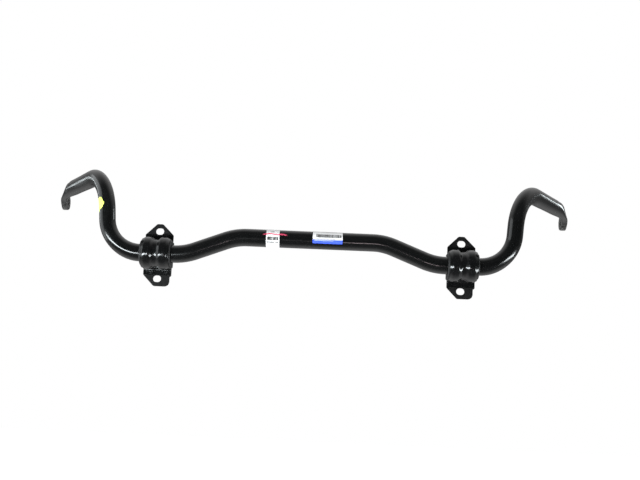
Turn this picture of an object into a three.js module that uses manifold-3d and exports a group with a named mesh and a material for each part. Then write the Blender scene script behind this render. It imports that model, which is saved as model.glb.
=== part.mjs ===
// A front stabilizer (sway) bar with its two frame brackets, in millimetres, +Z up.
// The origin is halfway between the two bushings, on the axis through both. +X runs
// along that axis and +Y points from the bar to the frame that the brackets bolt to.
import * as THREE from "three";
import { mergeVertices } from "three/addons/utils/BufferGeometryUtils.js";
import Module from "manifold-3d";

// Bar: a bent steel tube.
const TUBE_RADIUS = 17;
const TUBE_WALL = 5.5;
const SEAT_X = 295; // middle of a bushing
const BOW_HEIGHT = 38; // rise of the middle run above the bushing axis
const BOW_TOP_X = 142; // corner at the end of the middle run
const BOW_FOOT_X = 240; // corner where the bow comes down to the bushing axis
const BOW_RADIUS = 112; // centreline bend radius of the bow
const ARM_FOOT_X = 388.8; // corner where the arm turns up
const ARM_TOP = new THREE.Vector3(401.5, 0, 156); // corner where the arm turns back
const ARM_FOOT_RADIUS = 68;
const ARM_TOP_RADIUS = 74;
const OVAL = 0.075; // share by which bending narrows the arm in the plane of its foot bend
const OVAL_BUILDUP = 60; // distance past the arm's foot over which it does so

// Flattened and pierced ends, whose faces look along X.
const EYE_CENTRE = new THREE.Vector3(533, 200, 127);
const EYE_RADIUS = 17.2;
const EYE_THICKNESS = 11.5;
const EYE_HOLE_RADIUS = 6.5;
const BLADE_DROP = THREE.MathUtils.degToRad(45); // slope of the blade, back and down
const BLADE_LENGTH = 25; // blade corner to eye centre
const BLADE_BEND_RADIUS = 46;
const BLADE_HALF_WIDTH = 19;
const BLADE_EDGE_RADIUS = 2.5;
const FLAT_START = 84; // distance before the eye where the tube starts to flatten
const FLAT_END = 39; // distance before the eye where it is flat
const TWIST = THREE.MathUtils.degToRad(32); // how far the squeeze's way leans up from X at FLAT_START
const TWIST_START = 185; // distance before the eye where it starts to lean
const SEAM_HALF_GAP = 0.3; // the two walls of a flattened end, pressed together
const SEAM_HALF_WIDTH = 4;

// Brackets: a stamped strap over a rubber bushing, on a flat plate.
const PLATE_FRONT_Y = 25.5;
const PLATE_THICKNESS = 4;
const PLATE_HALF_WIDTH = 27;
const PLATE_SHOULDER_Z = 40;
const EAR_Z = 61;
const EAR_HALF_WIDTH = 5.6;
const BOLT_Z = 46.5;
const BOLT_SLOT = { halfLength: 8, radius: 6.5 };
const STRAP_HALF_LENGTH = 27;
const STRAP_THICKNESS = 3;
const STRAP_GROOVE_RADIUS = 27;
const STRAP_RIB_HEIGHT = 4.3;
const STRAP_FLANGE_Z = 39.5;
const BUSHING_HALF_LENGTH = 29.5;
const BUSHING_LIP_RADIUS = 25;
const BUSHING_SLIT = 0.8;

// Labels stuck round the middle run.
const LABEL_THICKNESS = 0.4;
const TAPE = { x: -71, width: 25.4 };
const STICKER = { x: 34, width: 57, fromDegrees: -26, toDegrees: 100 };

const GAP = 0.3; // clearance between pieces that touch
const RING_QUARTER = 5; // points in a quarter of the tube's section
const CORE_QUARTER = 3;
const DOME_STEPS = 10; // steps round the front of a bracket
const STRAIGHT_STEP = 70;
const FLATTENED_STEP = 9;
const BEND_STEP = THREE.MathUtils.degToRad(11);

const BACKWARDS = new THREE.Vector3(0, 1, 0);

const wasm = await Module();
wasm.setup();

function solidOf(geometry) {
  const bare = geometry.clone();
  bare.deleteAttribute("normal");
  bare.deleteAttribute("uv");
  const merged = mergeVertices(bare, 1e-4);
  return new wasm.Manifold(
    new wasm.Mesh({
      numProp: 3,
      vertProperties: merged.attributes.position.array,
      triVerts: new Uint32Array(merged.index.array),
    }),
  );
}

function geometryOf(solid) {
  const mesh = solid.getMesh();
  return new THREE.BufferGeometry()
    .setAttribute("position", new THREE.BufferAttribute(mesh.vertProperties, 3))
    .setIndex(new THREE.BufferAttribute(mesh.triVerts, 1));
}

// A closed solid through a row of sections. A section is an outline of plane points,
// counter-clockwise about the way the row runs, and a function that places a plane
// point in space.
function loft(sections) {
  const size = sections[0].outline.length;
  const last = (sections.length - 1) * size;
  const positions = sections.flatMap(({ outline, place }) =>
    outline.flatMap((point) => place(point).toArray()),
  );
  const faces = [];
  for (let start = 0; start < last; start += size) {
    for (let k = 0; k < size; k += 1) {
      const a = start + k;
      const b = start + ((k + 1) % size);
      faces.push(a, b, a + size, b, b + size, a + size);
    }
  }
  const triangulate = ({ outline }) => THREE.ShapeUtils.triangulateShape(outline, []);
  triangulate(sections[0]).forEach(([a, b, c]) => faces.push(c, b, a));
  triangulate(sections.at(-1)).forEach((face) => faces.push(...face.map((i) => last + i)));
  return new THREE.BufferGeometry()
    .setAttribute("position", new THREE.Float32BufferAttribute(positions, 3))
    .setIndex(faces);
}

// Turns a shape drawn in YZ and extruded along its own normal so that it runs along X.
function alongX(geometry) {
  return geometry.rotateX(Math.PI / 2).rotateZ(Math.PI / 2);
}

// A bend of the tube: radius turned about axis through angle, round centre.
class Bend extends THREE.Curve {
  constructor(centre, radius, axis, angle) {
    super();
    Object.assign(this, { centre, radius, axis, angle });
  }

  getPoint(t, target = new THREE.Vector3()) {
    return target.copy(this.radius).applyAxisAngle(this.axis, this.angle * t).add(this.centre);
  }

  getTangent(t, target = new THREE.Vector3()) {
    const arm = this.radius.clone().applyAxisAngle(this.axis, this.angle * t);
    return target.crossVectors(this.axis, arm).normalize();
  }
}

// The straight runs and bends of a tube through corners, with a bend radius at each
// corner but the first and the last.
function bentRoute(corners, radii) {
  const runs = [];
  let from = corners[0];
  radii.forEach((radius, i) => {
    const corner = corners[i + 1];
    const before = corner.clone().sub(from).normalize();
    const after = corners[i + 2].clone().sub(corner).normalize();
    const angle = before.angleTo(after);
    const cut = radius * Math.tan(angle / 2);
    const start = corner.clone().addScaledVector(before, -cut);
    const axis = before.clone().cross(after).normalize();
    const arm = before.clone().cross(axis).multiplyScalar(radius);
    runs.push(new THREE.LineCurve3(from, start));
    runs.push(new Bend(start.clone().sub(arm), arm, axis, angle));
    from = corner.clone().addScaledVector(after, cut);
  });
  runs.push(new THREE.LineCurve3(from, corners.at(-1)));
  return runs;
}

// Right half of the centreline, from the middle of the bar to the eye's centre.
const bladeDirection = new THREE.Vector3(0, Math.cos(BLADE_DROP), -Math.sin(BLADE_DROP));
const bladeCorner = EYE_CENTRE.clone().addScaledVector(bladeDirection, -BLADE_LENGTH);
const halfRoute = bentRoute(
  [
    new THREE.Vector3(0, 0, BOW_HEIGHT),
    new THREE.Vector3(BOW_TOP_X, 0, BOW_HEIGHT),
    new THREE.Vector3(BOW_FOOT_X, 0, 0),
    new THREE.Vector3(ARM_FOOT_X, 0, 0),
    ARM_TOP,
    bladeCorner,
    EYE_CENTRE,
  ],
  [BOW_RADIUS, BOW_RADIUS, ARM_FOOT_RADIUS, ARM_TOP_RADIUS, BLADE_BEND_RADIUS],
);

const ARM_FIRST_RUN = 5; // the arm's foot bend
const armLength = halfRoute.slice(ARM_FIRST_RUN).reduce((sum, run) => sum + run.getLength(), 0);

// How many steps a run is cut into: finest where the tube flattens.
function stepsOf(run, beforeEye) {
  if (beforeEye < FLAT_START + run.getLength()) return Math.ceil(run.getLength() / FLATTENED_STEP);
  if (run instanceof Bend) return Math.ceil(run.angle / BEND_STEP);
  return Math.ceil(run.getLength() / STRAIGHT_STEP);
}

// Points along the half centreline, each with its direction and its distance before
// the eye. Past the eye's centre the distance is negative.
function stations() {
  const found = [];
  let beforeEye = halfRoute.reduce((sum, run) => sum + run.getLength(), 0);
  for (const run of halfRoute) {
    const steps = stepsOf(run, beforeEye);
    for (let i = 0; i < steps; i += 1) {
      const t = i / steps;
      found.push({
        point: run.getPoint(t),
        direction: run.getTangent(t),
        beforeEye: beforeEye - t * run.getLength(),
      });
    }
    beforeEye -= run.getLength();
  }
  const tipSteps = 7;
  for (let i = 0; i <= tipSteps; i += 1) {
    const past = EYE_RADIUS * Math.sin((i / tipSteps) * THREE.MathUtils.degToRad(84));
    found.push({
      point: EYE_CENTRE.clone().addScaledVector(bladeDirection, past),
      direction: bladeDirection,
      beforeEye: -past,
    });
  }
  return found;
}

// A rectangle of half sizes across and up, with its corners rounded. Equal half sizes
// and a full radius make it the tube's regular polygon.
function roundedOutline(across, up, radius, quarter) {
  const halfStep = Math.PI / (4 * quarter);
  const outline = [];
  for (let corner = 0; corner < 4; corner += 1) {
    const signX = corner === 0 || corner === 3 ? 1 : -1;
    const signY = corner < 2 ? 1 : -1;
    for (let i = 0; i < quarter; i += 1) {
      const angle = (corner * Math.PI) / 2 + (2 * i + 1) * halfStep;
      const centreX = Math.max(across - radius * Math.cos(halfStep), 0) * signX;
      const centreY = Math.max(up - radius * Math.cos(halfStep), 0) * signY;
      outline.push(
        new THREE.Vector2(
          centreX + radius * Math.cos(angle),
          centreY + radius * Math.sin(angle),
        ),
      );
    }
  }
  return outline;
}

function flatness(beforeEye) {
  return THREE.MathUtils.smoothstep(-beforeEye, -FLAT_START, -FLAT_END);
}

function tubeOutline(beforeEye) {
  const flat = flatness(beforeEye);
  const round = TUBE_RADIUS * Math.cos(Math.PI / (4 * RING_QUARTER));
  const blade = THREE.MathUtils.lerp(
    EYE_RADIUS,
    BLADE_HALF_WIDTH,
    THREE.MathUtils.smoothstep(beforeEye, 0, FLAT_END),
  );
  const wide = beforeEye < 0 ? Math.sqrt(EYE_RADIUS ** 2 - beforeEye ** 2) : blade;
  const halfWidth = THREE.MathUtils.lerp(round, wide, flat);
  const halfThickness = THREE.MathUtils.lerp(round, EYE_THICKNESS / 2, flat);
  const radius = THREE.MathUtils.lerp(TUBE_RADIUS, BLADE_EDGE_RADIUS, flat);
  const bent = THREE.MathUtils.smoothstep(armLength - beforeEye, 0, OVAL_BUILDUP);
  const oval = OVAL * bent * (1 - flat);
  const cornerRadius = Math.min(radius, halfWidth);
  const outline = roundedOutline(halfThickness, halfWidth, cornerRadius, RING_QUARTER);
  return outline.map((p) => new THREE.Vector2(p.x * (1 - oval), p.y * (1 + oval / 2)));
}

// The hollow of the tube, which closes to a thin seam in the flattened ends.
function coreOutline(beforeEye) {
  const flat = flatness(beforeEye);
  const hollow = TUBE_RADIUS - TUBE_WALL;
  const round = hollow * Math.cos(Math.PI / (4 * CORE_QUARTER));
  const halfWidth = THREE.MathUtils.lerp(round, SEAM_HALF_WIDTH, flat);
  const halfThickness = THREE.MathUtils.lerp(round, SEAM_HALF_GAP, flat);
  const radius = THREE.MathUtils.lerp(hollow, SEAM_HALF_GAP, flat);
  return roundedOutline(halfThickness, halfWidth, radius, CORE_QUARTER);
}

// A section at a station. The squeeze starts from outside and above, and turns until
// the eye's faces look along X.
function sectionAt({ point, direction, beforeEye }, outlineAt) {
  const planar = Math.abs(direction.y) < 1e-6;
  const { smoothstep } = THREE.MathUtils;
  const gained = smoothstep(-beforeEye, -TWIST_START, -FLAT_START);
  const turn = TWIST * gained * smoothstep(beforeEye, 0, FLAT_START);
  const squeeze = new THREE.Vector3(Math.cos(turn), 0, Math.sin(turn));
  const width = planar ? BACKWARDS.clone() : direction.clone().cross(squeeze).normalize();
  const thickness = width.clone().cross(direction);
  return {
    outline: outlineAt(beforeEye),
    place: (p) => point.clone().addScaledVector(thickness, p.x).addScaledVector(width, p.y),
  };
}

function mirrored({ outline, place }) {
  return { outline, place: (p) => place(p).multiply(new THREE.Vector3(-1, 1, 1)) };
}

function bothSides(half) {
  return [...half.slice(1).reverse().map(mirrored), ...half];
}

function eyeHole(side) {
  const drill = new THREE.CylinderGeometry(EYE_HOLE_RADIUS, EYE_HOLE_RADIUS, 3 * EYE_THICKNESS, 28);
  return drill
    .rotateZ(Math.PI / 2)
    .translate(side * EYE_CENTRE.x, EYE_CENTRE.y, EYE_CENTRE.z);
}

function stabilizerBar() {
  const all = stations();
  const outside = all.map((station) => sectionAt(station, tubeOutline));
  const inside = all
    .filter(({ beforeEye }, i) => beforeEye >= 0 && i % 2 === 0)
    .map((station) => sectionAt(station, coreOutline));
  const bar = solidOf(loft(bothSides(outside)))
    .subtract(solidOf(loft(bothSides(inside))))
    .subtract(solidOf(eyeHole(1)))
    .subtract(solidOf(eyeHole(-1)));
  return geometryOf(bar);
}

// A shape through corners, each rounded with its own cut length.
function shapeThrough(corners) {
  const shape = new THREE.Shape();
  corners.forEach(({ x, z, cut }, i) => {
    const corner = new THREE.Vector2(x, z);
    const previous = corners.at(i - 1);
    const next = corners[(i + 1) % corners.length];
    const arrive = new THREE.Vector2(previous.x, previous.z).sub(corner).setLength(cut).add(corner);
    const leave = new THREE.Vector2(next.x, next.z).sub(corner).setLength(cut).add(corner);
    if (i === 0) shape.moveTo(arrive.x, arrive.y);
    else shape.lineTo(arrive.x, arrive.y);
    shape.quadraticCurveTo(x, z, leave.x, leave.y);
  });
  return shape;
}

function boltSlot(z) {
  const { halfLength, radius } = BOLT_SLOT;
  const reach = halfLength - radius;
  const hole = new THREE.Path();
  hole.absarc(reach, z, radius, -Math.PI / 2, Math.PI / 2, false);
  hole.absarc(-reach, z, radius, Math.PI / 2, (3 * Math.PI) / 2, false);
  return hole;
}

// The back plate: a pointed ear above, and below one with a long slope on one side and
// a stepped, round-cornered edge on the other. Both brackets use the same stamping.
function backPlate() {
  const shape = shapeThrough([
    { x: PLATE_HALF_WIDTH, z: -PLATE_SHOULDER_Z, cut: 1 },
    { x: PLATE_HALF_WIDTH, z: PLATE_SHOULDER_Z, cut: 2 },
    { x: EAR_HALF_WIDTH, z: EAR_Z, cut: 2 },
    { x: -EAR_HALF_WIDTH, z: EAR_Z, cut: 2 },
    { x: -PLATE_HALF_WIDTH, z: PLATE_SHOULDER_Z, cut: 2 },
    { x: -PLATE_HALF_WIDTH, z: -PLATE_SHOULDER_Z, cut: 2 },
    { x: -PLATE_HALF_WIDTH + 20.5, z: -EAR_Z, cut: 2 },
    { x: PLATE_HALF_WIDTH - 3, z: -EAR_Z, cut: 11 },
    { x: PLATE_HALF_WIDTH - 3, z: -PLATE_SHOULDER_Z - 2, cut: 1 },
  ]);
  shape.holes.push(boltSlot(BOLT_Z), boltSlot(-BOLT_Z));
  const options = { depth: PLATE_THICKNESS, bevelEnabled: false, curveSegments: 5 };
  return new THREE.ExtrudeGeometry(shape, options).rotateX(Math.PI / 2);
}

// Outer radius of the strap at a place along it: two wide ribs with a groove between.
function strapRadius(x) {
  const { smoothstep } = THREE.MathUtils;
  const rib = smoothstep(Math.abs(x), 3, 9) * (1 - 0.8 * smoothstep(Math.abs(x), 21.5, 28));
  return STRAP_GROOVE_RADIUS + STRAP_RIB_HEIGHT * rib;
}

// Points round the front half of a bracket, from below to above. X of a plane point
// is -Y in space and Y of it is Z.
function dome(radius) {
  return Array.from({ length: DOME_STEPS + 1 }, (_, i) => {
    const angle = (i / DOME_STEPS - 0.5) * Math.PI;
    return new THREE.Vector2(radius * Math.cos(angle), radius * Math.sin(angle));
  });
}

function crossSection(x, outline) {
  return { outline, place: (p) => new THREE.Vector3(x, -p.x, p.y) };
}

// Places along a bracket where its section changes, over a half length.
function placesAlong(halfLength) {
  const places = [0, 3, 5, 7, 9, 21.5, 24.5, STRAP_HALF_LENGTH, BUSHING_HALF_LENGTH];
  const near = places.filter((x) => x <= halfLength);
  return [...near.slice(1).reverse().map((x) => -x), ...near].reverse();
}

// The strap: a dome over the bushing, straight sides and a flange at each side that
// lies on the plate.
function strap() {
  const back = -(PLATE_FRONT_Y - GAP);
  const sections = placesAlong(STRAP_HALF_LENGTH).map((x) => {
    const radius = strapRadius(x);
    const inner = dome(radius - STRAP_THICKNESS);
    const outline = [
      new THREE.Vector2(back, -STRAP_FLANGE_Z),
      new THREE.Vector2(back + STRAP_THICKNESS, -STRAP_FLANGE_Z),
      new THREE.Vector2(back + STRAP_THICKNESS, -radius),
      ...dome(radius),
      new THREE.Vector2(back + STRAP_THICKNESS, radius),
      new THREE.Vector2(back + STRAP_THICKNESS, STRAP_FLANGE_Z),
      new THREE.Vector2(back, STRAP_FLANGE_Z),
      new THREE.Vector2(back, radius - STRAP_THICKNESS),
      ...inner.reverse(),
      new THREE.Vector2(back, STRAP_THICKNESS - radius),
    ];
    return crossSection(x, outline);
  });
  return loft(sections);
}

// The rubber bushing: it fills the strap, bulges out of both ends as a smaller lip and
// is slit at the back so that it can be opened over the bar.
function bushing() {
  const back = -(PLATE_FRONT_Y - GAP);
  const sections = placesAlong(BUSHING_HALF_LENGTH).map((x) => {
    const inside = strapRadius(x) - STRAP_THICKNESS - GAP;
    const radius = Math.abs(x) > STRAP_HALF_LENGTH ? BUSHING_LIP_RADIUS : inside;
    const corners = [new THREE.Vector2(back, radius), new THREE.Vector2(back, -radius)];
    return crossSection(x, [...dome(radius), ...corners]);
  });
  const bore = new THREE.CylinderGeometry(
    TUBE_RADIUS + GAP,
    TUBE_RADIUS + GAP,
    3 * BUSHING_HALF_LENGTH,
    32,
  ).rotateZ(Math.PI / 2);
  const slit = new THREE.BoxGeometry(3 * BUSHING_HALF_LENGTH, PLATE_FRONT_Y, BUSHING_SLIT);
  slit.translate(0, PLATE_FRONT_Y / 2 + TUBE_RADIUS / 2, 0);
  return geometryOf(solidOf(loft(sections)).subtract(solidOf(bore)).subtract(solidOf(slit)));
}

// A label round the bar, between two angles measured up from the front.
function wrap(width, fromDegrees, toDegrees) {
  const inner = TUBE_RADIUS + GAP;
  const start = Math.PI - THREE.MathUtils.degToRad(toDegrees);
  const end = Math.PI - THREE.MathUtils.degToRad(fromDegrees);
  const shape = new THREE.Shape();
  shape.absarc(0, 0, inner + LABEL_THICKNESS, start, end, false);
  shape.absarc(0, 0, inner, end, start, true);
  const options = { depth: width, bevelEnabled: false, curveSegments: 8 };
  return alongX(new THREE.ExtrudeGeometry(shape, options));
}

function ring(width) {
  const inner = TUBE_RADIUS + GAP;
  const shape = new THREE.Shape().absarc(0, 0, inner + LABEL_THICKNESS, 0, 2 * Math.PI, false);
  shape.holes.push(new THREE.Path().absarc(0, 0, inner, 0, 2 * Math.PI, true));
  const options = { depth: width, bevelEnabled: false, curveSegments: 14 };
  return alongX(new THREE.ExtrudeGeometry(shape, options));
}

const BLACK_PAINT = { color: 0x15181a, roughness: 0.35, metalness: 0.4 };
const DARK_COAT = { color: 0x1c1a1b, roughness: 0.55, metalness: 0.4 };
const RUBBER = { color: 0x101010, roughness: 0.85, metalness: 0 };
const WHITE_PAPER = { color: 0xf2f0ee, roughness: 0.6, metalness: 0 };

function named(name, geometry, look) {
  const mesh = new THREE.Mesh(geometry, new THREE.MeshStandardMaterial(look));
  mesh.name = name;
  return mesh;
}

function bracket(side, x) {
  const group = new THREE.Group();
  const plate = named(`${side}_back_plate`, backPlate(), DARK_COAT);
  plate.position.y = PLATE_FRONT_Y + PLATE_THICKNESS;
  group.add(plate);
  group.add(named(`${side}_bracket_strap`, strap(), BLACK_PAINT));
  group.add(named(`${side}_bushing`, bushing(), RUBBER));
  group.position.x = x;
  return group;
}

const swayBar = new THREE.Group();
swayBar.add(named("stabilizer_bar", stabilizerBar(), BLACK_PAINT));
swayBar.add(bracket("left", -SEAT_X), bracket("right", SEAT_X));

const tape = named("tape_label", ring(TAPE.width), WHITE_PAPER);
tape.position.set(TAPE.x - TAPE.width / 2, 0, BOW_HEIGHT);
const sticker = named(
  "part_label",
  wrap(STICKER.width, STICKER.fromDegrees, STICKER.toDegrees),
  WHITE_PAPER,
);
sticker.position.set(STICKER.x - STICKER.width / 2, 0, BOW_HEIGHT);
swayBar.add(tape, sticker);

export default swayBar;
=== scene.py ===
import math
from collections import namedtuple

import bpy
from mathutils import Matrix, Vector


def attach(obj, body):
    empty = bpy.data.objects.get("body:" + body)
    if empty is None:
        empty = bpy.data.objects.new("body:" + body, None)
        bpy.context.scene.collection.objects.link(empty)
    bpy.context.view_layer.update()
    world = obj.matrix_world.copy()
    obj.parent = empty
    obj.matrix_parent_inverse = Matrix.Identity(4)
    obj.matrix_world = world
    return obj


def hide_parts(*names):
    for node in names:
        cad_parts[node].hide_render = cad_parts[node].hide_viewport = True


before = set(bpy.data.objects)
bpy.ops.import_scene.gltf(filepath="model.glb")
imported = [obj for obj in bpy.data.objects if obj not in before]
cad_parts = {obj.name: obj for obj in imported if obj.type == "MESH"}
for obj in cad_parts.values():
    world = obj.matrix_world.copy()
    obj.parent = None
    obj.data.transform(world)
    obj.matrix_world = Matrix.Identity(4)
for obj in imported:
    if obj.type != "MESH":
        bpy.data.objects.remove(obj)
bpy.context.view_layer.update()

MM = 0.001

# Bar: a bent steel tube, 0.1 under the CAD tube so that the finer mesh stays in its box.
TUBE_RADIUS = 16.9
BOW_HEIGHT = 38  # rise of the middle run above the bushing axis
BOW_TOP_X = 142  # corner at the end of the middle run
BOW_FOOT_X = 240  # corner where the bow comes down to the bushing axis
BOW_RADIUS = 112
ARM_FOOT_X = 388.8  # corner where the arm turns up
ARM_TOP = Vector((401.5, 0, 156))  # corner where the arm turns back
ARM_FOOT_RADIUS = 68
ARM_TOP_RADIUS = 74
OVAL = 0.075  # share by which bending narrows the arm
OVAL_BUILDUP = 60  # distance past the arm's foot over which it does so

# Flattened and pierced ends, whose faces look along X.
EYE_CENTRE = Vector((533, 200, 127))
EYE_RADIUS = 17.2
EYE_THICKNESS = 11.5
EYE_HOLE_RADIUS = 6.5
EYE_CHAMFER = 0.8
BLADE_DROP = math.radians(45)  # slope of the blade, back and down
BLADE_DIRECTION = Vector((0, math.cos(BLADE_DROP), -math.sin(BLADE_DROP)))
BLADE_LENGTH = 25  # blade corner to eye centre
BLADE_BEND_RADIUS = 46
BLADE_HALF_WIDTH = 19
BLADE_EDGE_RADIUS = 2.5
FLAT_START = 84  # distance before the eye where the tube starts to flatten
FLAT_END = 39  # distance before the eye where it is flat
TWIST = math.radians(32)  # how far the squeeze leans up from X at FLAT_START
TWIST_START = 185  # distance before the eye where it starts to lean

CORNERS = [
    Vector((0, 0, BOW_HEIGHT)),
    Vector((BOW_TOP_X, 0, BOW_HEIGHT)),
    Vector((BOW_FOOT_X, 0, 0)),
    Vector((ARM_FOOT_X, 0, 0)),
    ARM_TOP,
    EYE_CENTRE - BLADE_DIRECTION * BLADE_LENGTH,
    EYE_CENTRE,
]
BEND_RADII = [BOW_RADIUS, BOW_RADIUS, ARM_FOOT_RADIUS, ARM_TOP_RADIUS, BLADE_BEND_RADIUS]
ARM_FIRST_RUN = 5  # the bend at the arm's foot

# Brackets: a stamped strap over a rubber bushing, on a flat plate.
GAP = 0.3  # clearance between pieces that touch
SEAT_X = 295  # middle of a bushing
PLATE_FRONT_Y = 25.5
PLATE_THICKNESS = 4
PLATE_HALF_WIDTH = 27
PLATE_SHOULDER_Z = 40
PLATE_EDGE_BEVEL = 0.5
EAR_Z = 61
EAR_HALF_WIDTH = 5.6
EAR_SLOPE_WIDTH = 20.5  # the lower ear's long slope
EAR_STEP = 3  # by which the lower ear's other side is set in
EAR_STEP_DROP = 2  # below the shoulder
EAR_CORNER_CUT = 11
EDGE_CUT = 2  # cut length of a plain corner
SHARP_EDGE_CUT = 1
BOLT_Z = 46.5
BOLT_SLOT_HALF_LENGTH = 8
BOLT_SLOT_RADIUS = 6.5
SLOT_TOOL_REACH = 5  # how far the cutter stands past each face
STRAP_HALF_LENGTH = 27
STRAP_THICKNESS = 3
STRAP_GROOVE_RADIUS = 27
STRAP_FLANGE_Z = 39.5
STRAP_FILLET = 3
STRAP_BACK = GAP - PLATE_FRONT_Y  # as a forward distance
STRAP_END_ROUNDING = [(0, 0.6), (0.15, 0.85), (0.5, 1)]  # distance in, share of the thickness
RIB_HEIGHT = 4.3
RIB_RISE = (2, 11)  # distances from the strap's middle between which a rib rises
RIB_FALL = (19, 28)
RIB_FALL_SHARE = 0.8
RIB_FADE = (-18, -3)  # forward distances between which the ribs grow out of the sides
WELD_X = 14
WELD_Z = 35.5
WELD_DEPTH = 0.35
WELD_SPREAD = 5  # square of a weld dimple's reach
BUSHING_HALF_LENGTH = 29.5
BUSHING_LIP_RADIUS = 25
BUSHING_LIP_ROUNDING = 1.2
BUSHING_LIP_PLACES = (0, 0.2, 0.7, 1.5, 2.2)  # distances in from an end
BUSHING_TOP_GAP = 0.35
BUSHING_BACK_GAP = 0.2
BORE_RADIUS = 17.1
BORE_FLARE = 0.7
BORE_FLARE_DEPTH = 0.6
SLIT_LOW = Vector((-40, 8, -0.4))  # opposite corners of the block that cuts the slit
SLIT_HIGH = Vector((40, 30, 0.4))

# Labels stuck round the middle run: where they lie along it, and degrees up from the front.
TAPE_X = (-83.7, -58.3)
STICKER_X = (5.5, 62.5)
STICKER_DEGREES = (-26, 100)
LABEL_GAP = 0.1
LABEL_THICKNESS = 0.2

# Fineness of the meshes.
RING_QUARTER = 14  # points in a quarter of the tube's section
FINE_STEP = 2
COARSE_STEP = 5
TIP_STEPS = 24
TIP_DEGREES = 88  # how far round the tip its last section stands
FLANGE_STEPS = 8
FILLET_STEPS = 6
DOME_STEPS = 28
STRAP_STEPS = 44
BUSHING_DOME_STEPS = 24
BUSHING_STEPS = 36
CORNER_STEPS = 12
SLOT_STEPS = 24
LABEL_STEPS = 12
LABEL_STEP_DEGREES = 3


def smoothstep(value, low, high):
    t = min(max((value - low) / (high - low), 0), 1)
    return t * t * (3 - 2 * t)


def lerp(a, b, t):
    return a + (b - a) * t


def span(low, high, steps):
    return [lerp(low, high, i / steps) for i in range(steps + 1)]


# ---------------------------------------------------------------- meshes


def mesh_object(name, points, faces):
    mesh = bpy.data.meshes.new(name)
    mesh.from_pydata([p * MM for p in points], [], faces)
    mesh.validate()
    made = bpy.data.objects.new(name, mesh)
    bpy.context.scene.collection.objects.link(made)
    return made


def band(size, here, there):
    """The faces between two rings of points, which start at here and there."""
    neighbours = [(k, (k + 1) % size) for k in range(size)]
    return [(here + k, here + n, there + n, there + k) for k, n in neighbours]


def loft(name, rings):
    """A closed body through rings of points that run counter-clockwise about its way."""
    size = len(rings[0])
    last = (len(rings) - 1) * size
    faces = []
    for start in range(0, last, size):
        faces += band(size, start, start + size)
    faces.append(tuple(reversed(range(size))))
    faces.append(tuple(range(last, last + size)))
    return mesh_object(name, [p for ring in rings for p in ring], faces)


def closed_loft(name, rings):
    """A hoop through rings of points, the last of which joins the first."""
    size = len(rings[0])
    faces = []
    for i in range(len(rings)):
        following = (i + 1) % len(rings)
        faces += band(size, i * size, following * size)
    return mesh_object(name, [p for ring in rings for p in ring], faces)


def block(name, low, high):
    """A box between two opposite corners."""
    corners = []
    for x in (low.x, high.x):
        for y in (low.y, high.y):
            corners += [Vector((x, y, low.z)), Vector((x, y, high.z))]
    sides = [(0, 1, 3, 2), (4, 6, 7, 5), (0, 4, 5, 1), (2, 3, 7, 6), (0, 2, 6, 4), (1, 5, 7, 3)]
    return mesh_object(name, corners, sides)


def apply_modifiers(piece):
    bpy.context.view_layer.update()
    shown = piece.evaluated_get(bpy.context.evaluated_depsgraph_get())
    mesh = bpy.data.meshes.new_from_object(shown)
    piece.modifiers.clear()
    piece.data = mesh


def cut(piece, tool):
    modifier = piece.modifiers.new("cut", "BOOLEAN")
    modifier.operation = "DIFFERENCE"
    modifier.solver = "EXACT"
    modifier.object = tool
    apply_modifiers(piece)
    bpy.data.objects.remove(tool)


def lathe_x(name, profile, centre, segments=72):
    """A body turned about X through centre, from (x, radius) pairs."""
    angles = [2 * math.pi * i / segments for i in range(segments)]
    rings = []
    for x, radius in profile:
        ring = [Vector((x, radius * math.cos(a), radius * math.sin(a))) + centre for a in angles]
        rings.append(ring)
    return loft(name, rings)


def finish_shading(piece, degrees=32):
    piece.data.shade_smooth()
    piece.data.set_sharp_from_angle(angle=math.radians(degrees))
    weighted = piece.modifiers.new("flats", "WEIGHTED_NORMAL")
    weighted.keep_sharp = True
    apply_modifiers(piece)


# ---------------------------------------------------------------- bar


def line_run(a, b):
    direction = (b - a).normalized()
    return (b - a).length, lambda t: (a.lerp(b, t), direction)


def bend_run(centre, arm, axis, angle):
    def at(t):
        turned = Matrix.Rotation(angle * t, 3, axis) @ arm
        return centre + turned, axis.cross(turned).normalized()

    return arm.length * angle, at


def bent_route(corners, radii):
    """The straight and bent runs in turn, each as its length and a function that gives the
    point and direction at a share of it."""
    runs = []
    start = corners[0]
    for corner, following, radius in zip(corners[1:], corners[2:], radii):
        before = (corner - start).normalized()
        after = (following - corner).normalized()
        angle = before.angle(after)
        cut_back = radius * math.tan(angle / 2)
        bend_start = corner - before * cut_back
        axis = before.cross(after).normalized()
        arm = before.cross(axis) * radius
        runs.append(line_run(start, bend_start))
        runs.append(bend_run(bend_start - arm, arm, axis, angle))
        start = corner + after * cut_back
    runs.append(line_run(start, corners[-1]))
    return runs


RUNS = bent_route(CORNERS, BEND_RADII)
ARM_LENGTH = sum(length for length, _ in RUNS[ARM_FIRST_RUN:])


def stations():
    """(point, direction, distance before the eye) along the right half of the bar."""
    found = []
    before_eye = sum(length for length, _ in RUNS)
    for length, at in RUNS:
        fine = before_eye < FLAT_START + length
        steps = math.ceil(length / (FINE_STEP if fine else COARSE_STEP))
        for t in span(0, 1, steps)[:-1]:
            found.append((*at(t), before_eye - t * length))
        before_eye -= length
    for angle in span(0, math.radians(TIP_DEGREES), TIP_STEPS):
        past = EYE_RADIUS * math.sin(angle)
        found.append((EYE_CENTRE + BLADE_DIRECTION * past, BLADE_DIRECTION, -past))
    return found


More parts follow.
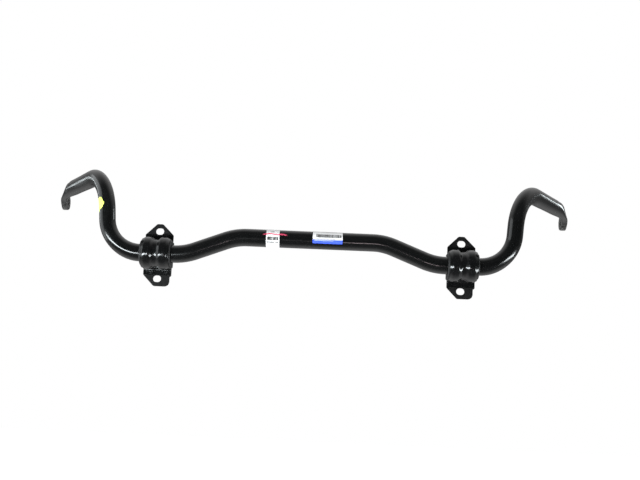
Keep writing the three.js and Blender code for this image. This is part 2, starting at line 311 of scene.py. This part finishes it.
def rounded_outline(across, up, radius, quarter):
    half_step = math.pi / (4 * quarter)
    outline = []
    for corner in range(4):
        centre_x = max(across - radius, 0) * (1 if corner in (0, 3) else -1)
        centre_y = max(up - radius, 0) * (1 if corner < 2 else -1)
        for i in range(quarter):
            angle = corner * math.pi / 2 + (2 * i + 1) * half_step
            x = centre_x + radius * math.cos(angle)
            outline.append((x, centre_y + radius * math.sin(angle)))
    return outline


def tube_outline(before_eye):
    flat = smoothstep(-before_eye, -FLAT_START, -FLAT_END)
    blade = lerp(EYE_RADIUS, BLADE_HALF_WIDTH, smoothstep(before_eye, 0, FLAT_END))
    wide = math.sqrt(EYE_RADIUS**2 - before_eye**2) if before_eye < 0 else blade
    half_width = lerp(TUBE_RADIUS, wide, flat)
    half_thickness = lerp(TUBE_RADIUS, EYE_THICKNESS / 2, flat)
    radius = min(lerp(TUBE_RADIUS, BLADE_EDGE_RADIUS, flat), half_width, half_thickness)
    oval = OVAL * smoothstep(ARM_LENGTH - before_eye, 0, OVAL_BUILDUP) * (1 - flat)
    outline = rounded_outline(half_thickness, half_width, radius, RING_QUARTER)
    return [(x * (1 - oval), y * (1 + oval / 2)) for x, y in outline]


def bar_ring(point, direction, before_eye):
    gained = smoothstep(-before_eye, -TWIST_START, -FLAT_START)
    turn = TWIST * gained * smoothstep(before_eye, 0, FLAT_START)
    squeeze = Vector((math.cos(turn), 0, math.sin(turn)))
    # Only the arms turn back, so elsewhere the width runs along Y.
    width = Vector((0, 1, 0))
    if abs(direction.y) > 1e-6:
        width = direction.cross(squeeze).normalized()
    thickness = width.cross(direction)
    return [point + thickness * x + width * y for x, y in tube_outline(before_eye)]


def stabilizer_bar():
    half = [bar_ring(*station) for station in stations()]
    other = [[Vector((-p.x, p.y, p.z)) for p in ring] for ring in half[:0:-1]]
    bar = loft("bar", other + half)
    face = EYE_THICKNESS / 2
    rim = EYE_HOLE_RADIUS + EYE_CHAMFER
    profile = [
        (-2 * face, rim),
        (-face, rim),
        (EYE_CHAMFER - face, EYE_HOLE_RADIUS),
        (face - EYE_CHAMFER, EYE_HOLE_RADIUS),
        (face, rim),
        (2 * face, rim),
    ]
    for side in (1, -1):
        centre = Vector((side * EYE_CENTRE.x, EYE_CENTRE.y, EYE_CENTRE.z))
        cut(bar, lathe_x("drill", profile, centre))
    return bar


# ---------------------------------------------------------------- brackets


def rib_height(x):
    fall = 1 - RIB_FALL_SHARE * smoothstep(abs(x), *RIB_FALL)
    return RIB_HEIGHT * smoothstep(abs(x), *RIB_RISE) * fall


def weld_dimple(x, up):
    away = min(abs(x - WELD_X), abs(x + WELD_X)) ** 2 + (up - WELD_Z) ** 2
    return WELD_DEPTH * math.exp(-away / WELD_SPREAD)


def half_profile(x, offset):
    """From the upper flange's edge to the middle of the dome, as (forward, up) points.
    Offset 0 is the front of the sheet and 1 its back."""
    inset = offset * STRAP_THICKNESS
    front = STRAP_BACK + STRAP_THICKNESS - inset
    root = STRAP_GROOVE_RADIUS - inset
    fillet = STRAP_FILLET + inset
    fillet_up = root + fillet
    rib = rib_height(x)
    points = []
    for up in span(STRAP_FLANGE_Z, fillet_up, FLANGE_STEPS)[:-1]:
        points.append((front - weld_dimple(x, up) * (1 - offset), up))
    for angle in span(math.pi, 1.5 * math.pi, FILLET_STEPS):
        forward = front + fillet + fillet * math.cos(angle)
        points.append((forward, fillet_up + fillet * math.sin(angle)))
    for forward in span(front + fillet, 0, FLANGE_STEPS)[1:]:
        points.append((forward, root + rib * smoothstep(forward, *RIB_FADE)))
    radius = root + rib
    for angle in span(math.pi / 2, 0, DOME_STEPS)[1:]:
        points.append((radius * math.cos(angle), radius * math.sin(angle)))
    return points


def mirrored_down(upper):
    """A whole outline from its upper half, whose last point is its foremost."""
    return upper + [(forward, -up) for forward, up in reversed(upper[:-1])]


def strap(name, seat):
    low_end = [(inward - STRAP_HALF_LENGTH, share) for inward, share in STRAP_END_ROUNDING]
    high_end = [(-x, share) for x, share in reversed(low_end)]
    inner = STRAP_HALF_LENGTH - 1
    places = low_end + [(x, 1) for x in span(-inner, inner, STRAP_STEPS)] + high_end
    rings = []
    for x, share in places:
        front = mirrored_down(half_profile(x, 0))
        back = mirrored_down(half_profile(x, 1))
        keep = (1 + share) / 2
        outline = []
        for near, far in ((front, back), (back[::-1], front[::-1])):
            for (forward, up), (far_forward, far_up) in zip(near, far):
                y = -lerp(far_forward, forward, keep)
                outline.append(Vector((x, y, lerp(far_up, up, keep))) + seat)
        rings.append(outline)
    return loft(name, rings)


def bushing_radius(x):
    past = abs(x) - STRAP_HALF_LENGTH
    if past <= 0:
        return STRAP_GROOVE_RADIUS - STRAP_THICKNESS + rib_height(x) - BUSHING_TOP_GAP
    overhang = BUSHING_HALF_LENGTH - STRAP_HALF_LENGTH
    rounded = smoothstep(past, BUSHING_LIP_ROUNDING, overhang)
    return BUSHING_LIP_RADIUS - BUSHING_LIP_ROUNDING * rounded


def bushing(name, seat):
    end = [BUSHING_HALF_LENGTH - inward for inward in BUSHING_LIP_PLACES]
    middle = span(-STRAP_HALF_LENGTH, STRAP_HALF_LENGTH, BUSHING_STEPS)
    rings = []
    for x in [-place for place in end] + middle + end[::-1]:
        radius = bushing_radius(x)
        angles = span(math.pi / 2, 0, BUSHING_DOME_STEPS)
        dome = [(radius * math.cos(a), radius * math.sin(a)) for a in angles]
        outline = mirrored_down([(STRAP_BACK + BUSHING_BACK_GAP, radius)] + dome)
        rings.append([Vector((x, -forward, up)) + seat for forward, up in outline])
    made = loft(name, rings)
    reach = 2 * BUSHING_HALF_LENGTH
    flared = BORE_RADIUS + BORE_FLARE
    neck = BUSHING_HALF_LENGTH - BORE_FLARE_DEPTH
    profile = [
        (-reach, flared),
        (-BUSHING_HALF_LENGTH, flared),
        (-neck, BORE_RADIUS),
        (neck, BORE_RADIUS),
        (BUSHING_HALF_LENGTH, flared),
        (reach, flared),
    ]
    cut(made, lathe_x("bore", profile, seat))
    cut(made, block("slit", SLIT_LOW + seat, SLIT_HIGH + seat))
    return made


def rounded_polygon(corners):
    """An outline through (x, z, cut length) corners, each rounded over its cut length."""
    points = []
    for i, (x, z, cut_length) in enumerate(corners):
        corner = Vector((x, z))
        before = Vector(corners[i - 1][:2]) - corner
        after = Vector(corners[(i + 1) % len(corners)][:2]) - corner
        start = corner + before.normalized() * cut_length
        end = corner + after.normalized() * cut_length
        for t in span(0, 1, CORNER_STEPS):
            points.append(start.lerp(corner, t).lerp(corner.lerp(end, t), t))
    return points


def slot_outline(up):
    reach = BOLT_SLOT_HALF_LENGTH - BOLT_SLOT_RADIUS
    right = []
    for angle in span(-math.pi / 2, math.pi / 2, SLOT_STEPS):
        x = reach + BOLT_SLOT_RADIUS * math.cos(angle)
        right.append((x, up + BOLT_SLOT_RADIUS * math.sin(angle)))
    left = [(-x, 2 * up - z) for x, z in right]
    return [Vector(p) for p in right + left]


def prism(name, outline, seat, front, back):
    rings = []
    for y in (back, front):
        rings.append([Vector((p.x, y, p.y)) + seat for p in outline])
    return loft(name, rings)


def back_plate(name, seat):
    """A pointed ear above, and below one with a long slope on one side and a stepped,
    round-cornered edge on the other. Both brackets use the same stamping."""
    half = PLATE_HALF_WIDTH
    stepped = half - EAR_STEP
    outline = rounded_polygon(
        [
            (half, -PLATE_SHOULDER_Z, SHARP_EDGE_CUT),
            (half, PLATE_SHOULDER_Z, EDGE_CUT),
            (EAR_HALF_WIDTH, EAR_Z, EDGE_CUT),
            (-EAR_HALF_WIDTH, EAR_Z, EDGE_CUT),
            (-half, PLATE_SHOULDER_Z, EDGE_CUT),
            (-half, -PLATE_SHOULDER_Z, EDGE_CUT),
            (EAR_SLOPE_WIDTH - half, -EAR_Z, EDGE_CUT),
            (stepped, -EAR_Z, EAR_CORNER_CUT),
            (stepped, -PLATE_SHOULDER_Z - EAR_STEP_DROP, SHARP_EDGE_CUT),
        ]
    )
    near = PLATE_FRONT_Y
    far = near + PLATE_THICKNESS
    plate = prism(name, outline, seat, near, far)
    for up in (BOLT_Z, -BOLT_Z):
        slot = slot_outline(up)
        cut(plate, prism("slot", slot, seat, near - SLOT_TOOL_REACH, far + SLOT_TOOL_REACH))
    edges = plate.modifiers.new("edges", "BEVEL")
    edges.width = PLATE_EDGE_BEVEL * MM
    edges.segments = 3
    edges.limit_method = "ANGLE"
    edges.angle_limit = math.radians(50)
    apply_modifiers(plate)
    return plate


# ---------------------------------------------------------------- labels


def wrap_rings(x_low, x_high, from_degrees, to_degrees):
    """Sections of a thin label round the middle run, by degrees up from the front."""
    inner = TUBE_RADIUS + LABEL_GAP
    outer = inner + LABEL_THICKNESS
    axis = Vector((0, 0, BOW_HEIGHT))
    xs = span(x_low, x_high, LABEL_STEPS)
    steps = round((to_degrees - from_degrees) / LABEL_STEP_DEGREES)
    rings = []
    for degrees in span(from_degrees, to_degrees, steps):
        angle = math.radians(degrees)
        out = Vector((0, -math.cos(angle), math.sin(angle)))
        top = [axis + out * outer + Vector((x, 0, 0)) for x in xs]
        under = [axis + out * inner + Vector((x, 0, 0)) for x in reversed(xs)]
        rings.append(top + under)
    return rings


# ---------------------------------------------------------------- node trees


class Nodes:
    """A node tree, built a node at a time."""

    def __init__(self, tree):
        self.tree = tree

    def put(self, socket, value):
        if isinstance(value, bpy.types.NodeSocket):
            self.tree.links.new(value, socket)
        else:
            socket.default_value = value

    def node(self, kind, inputs, output=0, **settings):
        made = self.tree.nodes.new(kind)
        for key, value in settings.items():
            setattr(made, key, value)
        for key, value in inputs.items():
            self.put(made.inputs[key], value)
        return made.outputs[output]

    def math(self, operation, *values):
        return self.node("ShaderNodeMath", dict(enumerate(values)), operation=operation)

    def ramp(self, value, low, high, to_low=0.0, to_high=1.0):
        inputs = {0: value, 1: low, 2: high, 3: to_low, 4: to_high}
        return self.node("ShaderNodeMapRange", inputs, interpolation_type="SMOOTHSTEP")

    def axes(self, place):
        apart = self.tree.nodes.new("ShaderNodeSeparateXYZ")
        self.put(apart.inputs[0], place)
        return tuple(apart.outputs)


class Look(Nodes):
    """A material's node tree."""

    def __init__(self, name, **settings):
        self.material = bpy.data.materials.new(name)
        self.material.use_nodes = True
        super().__init__(self.material.node_tree)
        self.shader = self.tree.nodes["Principled BSDF"]
        for socket, value in settings.items():
            self.shader.inputs[socket.replace("_", " ")].default_value = value

    def place(self):
        return self.node("ShaderNodeTexCoord", {}, "Object")

    def noise(self, place, scale, detail=4, roughness=0.55):
        inputs = {"Vector": place, "Scale": scale, "Detail": detail, "Roughness": roughness}
        return self.node("ShaderNodeTexNoise", inputs)

    def stretched(self, place, scales):
        return self.node("ShaderNodeMapping", {"Vector": place, "Scale": scales})

    def mix(self, share, a, b):
        """A colour between two, whose sockets on a mix node are 6 and 7."""
        return self.node("ShaderNodeMix", {0: share, 6: a, 7: b}, 2, data_type="RGBA")

    def blend(self, share, a, b):
        """A number between two."""
        return self.node("ShaderNodeMix", {0: share, 2: a, 3: b})

    def within(self, value, low, high, soft):
        """1 between low and high, falling to 0 over soft on either side."""
        rise = self.ramp(value, low - soft, low + soft)
        fall = self.ramp(value, high - soft, high + soft, 1.0, 0.0)
        return self.math("MULTIPLY", rise, fall)

    def distance_to(self, place, point):
        inputs = {0: place, 1: [v * MM for v in point]}
        return self.node("ShaderNodeVectorMath", inputs, 1, operation="DISTANCE")

    def edges(self, low, high):
        point = self.node("ShaderNodeNewGeometry", {}, "Pointiness")
        return self.ramp(point, low, high)

    def bump(self, height, distance, strength=1.0, under=None):
        inputs = {"Height": height, "Distance": distance, "Strength": strength}
        if under is not None:
            inputs["Normal"] = under
        return self.node("ShaderNodeBump", inputs)

    def finish(self, colour, roughness, normal):
        self.put(self.shader.inputs["Base Color"], colour)
        self.put(self.shader.inputs["Roughness"], roughness)
        self.put(self.shader.inputs["Normal"], normal)
        return self.material


# ---------------------------------------------------------------- materials


def grey(value):
    return (value, value, value, 1)


BAR_BLACK = (0.0019, 0.002, 0.002, 1)
BAR_CHARCOAL = (0.0042, 0.0045, 0.0046, 1)
BAR_SCRATCH = (0.03, 0.031, 0.032, 1)
RUBBED_STEEL = (0.10, 0.098, 0.094, 1)
STRAP_BLACK = (0.0019, 0.002, 0.0021, 1)
STRAP_CHARCOAL = (0.0045, 0.0047, 0.0048, 1)
PLATE_BLACK = (0.002, 0.0018, 0.0019, 1)
PLATE_CHARCOAL = (0.005, 0.0047, 0.0048, 1)
WORN_EDGE = (0.16, 0.155, 0.15, 1)
RUBBER_GREY = (0.018, 0.018, 0.019, 1)
RUBBER_BLOOM = (0.04, 0.04, 0.041, 1)
YELLOW_PAINT = (0.82, 0.98, 0.14, 1)
PEN_ON_PAINT = (0.55, 0.06, 0.12, 1)
PEN_ON_PAPER = (0.80, 0.08, 0.16, 1)
LABEL_BLUE = (0.022, 0.075, 0.62, 1)
LABEL_RULE = (0.75, 0.78, 0.9, 1)
INK = (0.02, 0.018, 0.018, 1)
GRIME = (0.45, 0.43, 0.42, 1)

# Marks on the paint: centres in millimetres, and the distances over which they fade, in metres.
RUB_FADE = (0.012, 0.034)
DAB_CENTRE = (-411, -12, 92)  # yellow, on the outer side of the left leg
DAB_FADE = (0.0108, 0.0122)
DAB_WARP = 0.011
DRIPS_CENTRE = (-411, -11, 78)
DRIPS_FADE = (0.009, 0.011)
STROKE_X = (-0.089, -0.045)
STROKE_DEGREES = (17.0, 27.0)  # between which it wanders

# A row of print: degrees up from the front, metres along the bar, darkness, and the pitch
# of its marks with the least share of it that stays blank.
Row = namedtuple("Row", "low high from_x to_x darkness pitch gap")
GAP_SPREAD = 0.35  # share of the pitch that chance adds to a blank
ROW_DICE_STEP = 31.7  # keeps the rows' dice apart
TAPE_ROWS = [
    Row(38, 47, -0.075, -0.068, 0.7, 0.0022, 0.1),
    Row(-18, 4, -0.082, -0.0605, 1, 0.0031, 0.03),
    Row(-37, -26, -0.0825, -0.060, 0.9, 0.0017, 0.1),
    Row(-57, -50, -0.077, -0.068, 0.85, 0.0016, 0.1),
    Row(-80, -73, -0.074, -0.069, 0.6, 0.0016, 0.2),
]
STICKER_ROWS = [
    Row(60, 68, 0.022, 0.052, 0.6, 0.0015, 0.25),
    Row(13, 37, 0.012, 0.0605, 0.95, 0.0017, 0.05),
    Row(2.5, 6, 0.012, 0.050, 0.9, 0.0019, 0.05),
]
BLUE_BELOW = -1  # degrees
RULE_X = (0.009, 0.045)


def run_angle(look, y, z):
    """Degrees up from the front, round the middle run."""
    up = look.math("SUBTRACT", z, BOW_HEIGHT * MM)
    front = look.math("MULTIPLY", y, -1.0)
    return look.math("DEGREES", look.math("ARCTAN2", up, front))


def pen_stroke(look, place, x, angle):
    """A wandering line along the bar, over the tape and past both its edges."""
    centre = look.ramp(look.noise(place, 60, 2), 0.3, 0.7, *STROKE_DEGREES)
    off = look.math("ABSOLUTE", look.math("SUBTRACT", angle, centre))
    line = look.ramp(off, 2.5, 5.5, 1.0, 0.0)
    return look.math("MULTIPLY", line, look.within(x, *STROKE_X, 0.003))


def rubbed_ends(look, place, x, y, z):
    """Where the paint is rubbed and blistered round the holes of the pierced ends."""
    folded = look.node("ShaderNodeCombineXYZ", {0: look.math("ABSOLUTE", x), 1: y, 2: z})
    near = look.ramp(look.distance_to(folded, EYE_CENTRE), *RUB_FADE, 1.0, 0.0)
    mottled = look.math("MULTIPLY", near, look.noise(place, 260, 6, 0.7))
    return look.ramp(mottled, 0.33, 0.62, 0.0, 0.8)


def inspection_paint(look, place):
    """Where the yellow paint is: an uneven dab with drips under it."""
    wander = look.math("SUBTRACT", look.noise(place, 170, 3), 0.5)
    warp = look.math("MULTIPLY", wander, DAB_WARP)
    to_dab = look.math("ADD", look.distance_to(place, DAB_CENTRE), warp)
    dab = look.ramp(to_dab, *DAB_FADE, 1.0, 0.0)
    runs = look.noise(look.stretched(place, (260, 260, 60)), 1.0, 2)
    near = look.ramp(look.distance_to(place, DRIPS_CENTRE), *DRIPS_FADE, 1.0, 0.0)
    drips = look.math("MULTIPLY", look.ramp(runs, 0.52, 0.56), near)
    return look.math("MAXIMUM", dab, drips)


def painted_bar():
    look = Look("bar_paint", Specular_IOR_Level=0.5)
    place = look.place()
    x, y, z = look.axes(place)
    colour = look.mix(look.noise(place, 14), BAR_BLACK, BAR_CHARCOAL)
    dust = look.ramp(look.noise(place, 330, 6, 0.75), 0.6, 0.8, 0.0, 0.3)
    colour = look.mix(dust, colour, grey(0.02))
    roughness = look.ramp(look.noise(place, 45, 5), 0.35, 0.7, 0.13, 0.2)
    scratches = look.noise(look.stretched(place, (12, 500, 500)), 3, 3, 0.7)
    colour = look.mix(look.ramp(scratches, 0.66, 0.72, 0.0, 0.35), colour, BAR_SCRATCH)
    stroke = pen_stroke(look, place, x, run_angle(look, y, z))
    in_front = look.ramp(y, -0.004, 0.0, 1.0, 0.0)
    colour = look.mix(look.math("MULTIPLY", stroke, in_front), colour, PEN_ON_PAINT)
    rubbed = rubbed_ends(look, place, x, y, z)
    colour = look.mix(rubbed, colour, RUBBED_STEEL)
    roughness = look.blend(rubbed, roughness, 0.55)
    paint = inspection_paint(look, place)
    colour = look.mix(paint, colour, YELLOW_PAINT)
    roughness = look.blend(paint, roughness, 0.45)
    peel = look.bump(look.noise(place, 220, 5), 0.00003, 0.1)
    skin = look.bump(look.noise(place, 900, 2), 0.00001, 0.05, peel)
    return look.finish(colour, roughness, look.bump(paint, 0.0003, 0.6, skin))


def coated(name, colours, roughnesses, worn, speckle, shine):
    """A black coat with pale specks, worn edges and an uneven skin."""
    look = Look(name, Specular_IOR_Level=shine)
    place = look.place()
    colour = look.mix(look.noise(place, 60, 5), *colours)
    specks = look.ramp(look.noise(place, 850, 3, 0.6), 0.62, 0.74, 0.0, speckle)
    colour = look.mix(specks, colour, grey(0.10))
    wear = look.math("MULTIPLY", look.edges(0.52, 0.60), look.noise(place, 240, 5, 0.7))
    colour = look.mix(look.ramp(wear, 0.35, 0.6, 0.0, worn), colour, WORN_EDGE)
    roughness = look.ramp(look.noise(place, 120, 5), 0.35, 0.7, *roughnesses)
    uneven = look.bump(look.noise(place, 130, 3), 0.0006, 0.35)
    grain = look.bump(look.noise(place, 420, 4), 0.0001, 0.14, uneven)
    return look.finish(colour, roughness, grain)


def rubber():
    look = Look("bushing_rubber")
    place = look.place()
    colour = look.mix(look.noise(place, 90), grey(0.007), RUBBER_GREY)
    bloom = look.ramp(look.noise(place, 300, 5, 0.7), 0.55, 0.8, 0.0, 0.5)
    colour = look.mix(bloom, colour, RUBBER_BLOOM)
    roughness = look.ramp(bloom, 0.0, 0.5, 0.6, 0.85)
    return look.finish(colour, roughness, look.bump(look.noise(place, 700, 4), 0.0002, 0.5))


def marks(look, x, angle, rows):
    """Rows of short upright marks of uneven width, with no letters in them."""
    total = None
    for number, row in enumerate(rows):
        height = look.within(angle, row.low, row.high, 0.6)
        length = look.within(x, row.from_x, row.to_x, 0.0002)
        along = look.math("DIVIDE", x, row.pitch)
        cell = look.math("ADD", look.math("FLOOR", along), ROW_DICE_STEP * number)
        dice = look.node("ShaderNodeTexWhiteNoise", {"W": cell}, noise_dimensions="1D")
        blank = look.math("MULTIPLY_ADD", dice, GAP_SPREAD, row.gap)
        inked = look.math("GREATER_THAN", look.math("FRACT", along), blank)
        mark = look.math("MULTIPLY", height, look.math("MULTIPLY", length, inked))
        mark = look.math("MULTIPLY", mark, row.darkness)
        total = mark if total is None else look.math("MAXIMUM", total, mark)
    return total


def blue_foot(look, colour, x, angle):
    """The sticker's blue lower part, with a pale rule across it."""
    blue = look.ramp(angle, BLUE_BELOW - 1.5, BLUE_BELOW + 1.5, 1.0, 0.0)
    colour = look.mix(blue, colour, LABEL_BLUE)
    height = look.within(angle, BLUE_BELOW - 7, BLUE_BELOW - 4.5, 0.5)
    rule = look.math("MULTIPLY", height, look.within(x, *RULE_X, 0.0005))
    return look.mix(look.math("MULTIPLY", rule, 0.7), colour, LABEL_RULE)


def paper(name, ink_rows, blue=False, stroke=False):
    look = Look(name)
    place = look.place()
    x, y, z = look.axes(place)
    angle = run_angle(look, y, z)
    colour = look.mix(look.noise(place, 80, 5), grey(0.64), grey(0.74))
    if blue:
        colour = blue_foot(look, colour, x, angle)
    colour = look.mix(marks(look, x, angle, ink_rows), colour, INK)
    if stroke:
        colour = look.mix(pen_stroke(look, place, x, angle), colour, PEN_ON_PAPER)
    grime = look.ramp(look.noise(place, 190, 6, 0.7), 0.55, 0.85, 0.0, 0.25)
    colour = look.mix(grime, colour, GRIME)
    roughness = look.ramp(look.noise(place, 130), 0.3, 0.7, 0.38, 0.55)
    return look.finish(colour, roughness, look.bump(look.noise(place, 160, 4), 0.0003, 0.35))


# ---------------------------------------------------------------- camera and light

CAMERA_PLACE = Vector((0.0453, -1.8666, -0.2254))
CAMERA_PITCH = math.radians(8.07)
CAMERA_YAW = math.radians(0.80)
CAMERA_ROLL = math.radians(2.52)
CAMERA_LENS = 55.0
CAMERA_SENSOR = 36
FLOOR_Z = -1.3
FLOOR_HALF_WIDTH = 15


def camera():
    level_share = math.cos(CAMERA_PITCH)
    east = -math.sin(CAMERA_YAW) * level_share
    north = math.cos(CAMERA_YAW) * level_share
    ahead = Vector((east, north, math.sin(CAMERA_PITCH)))
    level = ahead.cross(Vector((0, 0, 1))).normalized()
    upright = level.cross(ahead)
    right = level * math.cos(CAMERA_ROLL) + upright * math.sin(CAMERA_ROLL)
    up = upright * math.cos(CAMERA_ROLL) - level * math.sin(CAMERA_ROLL)
    data = bpy.data.cameras.new("camera")
    data.lens = CAMERA_LENS
    data.sensor_width = CAMERA_SENSOR
    made = bpy.data.objects.new("camera", data)
    turn = Matrix((right, up, -ahead)).transposed().to_4x4()
    made.matrix_world = Matrix.Translation(CAMERA_PLACE) @ turn
    bpy.context.scene.collection.objects.link(made)
    bpy.context.scene.camera = made


def surroundings():
    """A studio, white to the camera. It lights the object from above and below, weakly at
    eye level, and hardly at all from the camera's side."""
    world = bpy.data.worlds.new("studio")
    bpy.context.scene.world = world
    world.use_nodes = True
    sky = Nodes(world.node_tree)
    shown = sky.tree.nodes["Background"]
    sky.put(shown.inputs["Color"], (1, 1, 1, 1))
    _, depth, height = sky.axes(sky.node("ShaderNodeTexCoord", {}, "Generated"))
    above = sky.ramp(height, 0.1, 0.8, 0.24, 1.2)
    below = sky.ramp(height, -0.8, -0.1, 0.9, 0.0)
    behind = sky.ramp(depth, -0.5, 0.4, 0.1, 1.0)
    strength = sky.math("MULTIPLY", sky.math("ADD", above, below), behind)
    lit = sky.node("ShaderNodeBackground", {"Strength": strength})
    seen = sky.node("ShaderNodeLightPath", {}, "Is Camera Ray")
    both = sky.node("ShaderNodeMixShader", {0: seen, 1: lit, 2: shown.outputs[0]})
    sky.put(sky.tree.nodes["World Output"].inputs["Surface"], both)


def floor():
    far = FLOOR_HALF_WIDTH
    square = ((-far, -far), (far, -far), (far, far), (-far, far))
    corners = [Vector((x, y, FLOOR_Z)) / MM for x, y in square]
    made = mesh_object("floor", corners, [(0, 1, 2, 3)])
    look = Look("floor_paper", Emission_Color=(1, 1, 1, 1), Emission_Strength=0.75)
    place = look.place()
    colour = look.mix(look.noise(place, 3), grey(0.90), grey(0.92))
    grain = look.bump(look.noise(place, 90), 0.0005, 0.2)
    made.data.materials.append(look.finish(colour, 0.9, grain))
    made.visible_glossy = False


def softbox(name, place, target, width, height, watts, tint=(1, 1, 1)):
    data = bpy.data.lights.new(name, "AREA")
    data.shape = "RECTANGLE"
    data.size = width
    data.size_y = height
    data.energy = watts
    data.color = tint
    made = bpy.data.objects.new(name, data)
    made.location = place
    towards = Vector(target) - Vector(place)
    made.rotation_euler = towards.to_track_quat("-Z", "Y").to_euler()
    bpy.context.scene.collection.objects.link(made)
    return made


def lights():
    """Long boxes for the highlights along the bar, a wall of light on the left, small boxes
    for the arms and the bow, and a fill that has no highlight of its own."""
    middle = (0, 0, 0.05)
    left_end = (-0.37, 0, 0)
    right_end = (0.39, 0, 0)
    left_arm = (-0.47, 0.07, 0.15)
    right_arm = (0.48, 0.08, 0.15)
    cool = (0.9, 0.98, 1.0)
    softbox("left_softbox", (-1.5, -1.6, -0.55), left_end, 1.9, 0.28, 62, (0.9, 0.97, 1.0))
    softbox("right_softbox", (2.1, -0.95, -0.83), right_end, 1.85, 0.3, 42, (0.92, 0.98, 1.0))
    softbox("left_wall", (-3.2, 0, 0.3), middle, 3.0, 3.0, 45, (0.93, 0.98, 1.0))
    softbox("left_strip", (-2.2, 1.07, 0.4), left_arm, 0.12, 0.4, 0.9, cool)
    softbox("right_strip", (1.95, 1.34, 0.62), right_arm, 0.35, 0.35, 4.0, cool)
    softbox("front_strip", (0.0, -2.2, -0.8), (0.0, 0, 0.04), 1.1, 0.2, 0.3)
    softbox("front_lamp", (0.21, -2.2, -0.8), (0.1, 0, 0.04), 0.3, 0.12, 1.7, (1.0, 0.82, 0.86))
    fill = softbox("fill", (0, -2.4, 1.7), middle, 3.0, 2.0, 32)
    fill.visible_glossy = False


# ---------------------------------------------------------------- the scene


def place_piece(piece, look, body, slot, *nodes):
    piece.data.materials.clear()
    piece.data.materials.append(look)
    finish_shading(piece)
    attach(piece, body)
    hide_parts(*nodes)


camera()
surroundings()
floor()
bpy.context.scene.view_settings.view_transform = "Standard"
lights()

STRAP_COAT = coated(
    "strap_coat",
    colours=(STRAP_BLACK, STRAP_CHARCOAL),
    roughnesses=(0.12, 0.2),
    worn=0.2,
    speckle=0.03,
    shine=0.5,
)
PLATE_COAT = coated(
    "plate_coat",
    colours=(PLATE_BLACK, PLATE_CHARCOAL),
    roughnesses=(0.5, 0.7),
    worn=0.15,
    speckle=0.1,
    shine=0.2,
)
RUBBER = rubber()

place_piece(stabilizer_bar(), painted_bar(), "bar", "bar_paint", "stabilizer_bar")
for side, x in (("left", -SEAT_X), ("right", SEAT_X)):
    seat = Vector((x, 0, 0))
    body = f"{side}_bracket"
    pieces = (
        (back_plate(f"{side}_plate", seat), PLATE_COAT, "plate_coat", f"{side}_back_plate"),
        (strap(f"{side}_strap", seat), STRAP_COAT, "strap_paint", f"{side}_bracket_strap"),
        (bushing(f"{side}_rubber", seat), RUBBER, "bushing_rubber", f"{side}_bushing"),
    )
    for piece, look, slot, node in pieces:
        place_piece(piece, look, body, slot, node)

tape = closed_loft("tape", wrap_rings(*TAPE_X, -180, 180)[:-1])
place_piece(tape, paper("tape_paper", TAPE_ROWS, stroke=True), "bar", "tape_paper", "tape_label")
sticker = loft("label", wrap_rings(*STICKER_X, *STICKER_DEGREES))
place_piece(sticker, paper("label_paper", STICKER_ROWS, blue=True), "bar", "label_paper", "part_label")
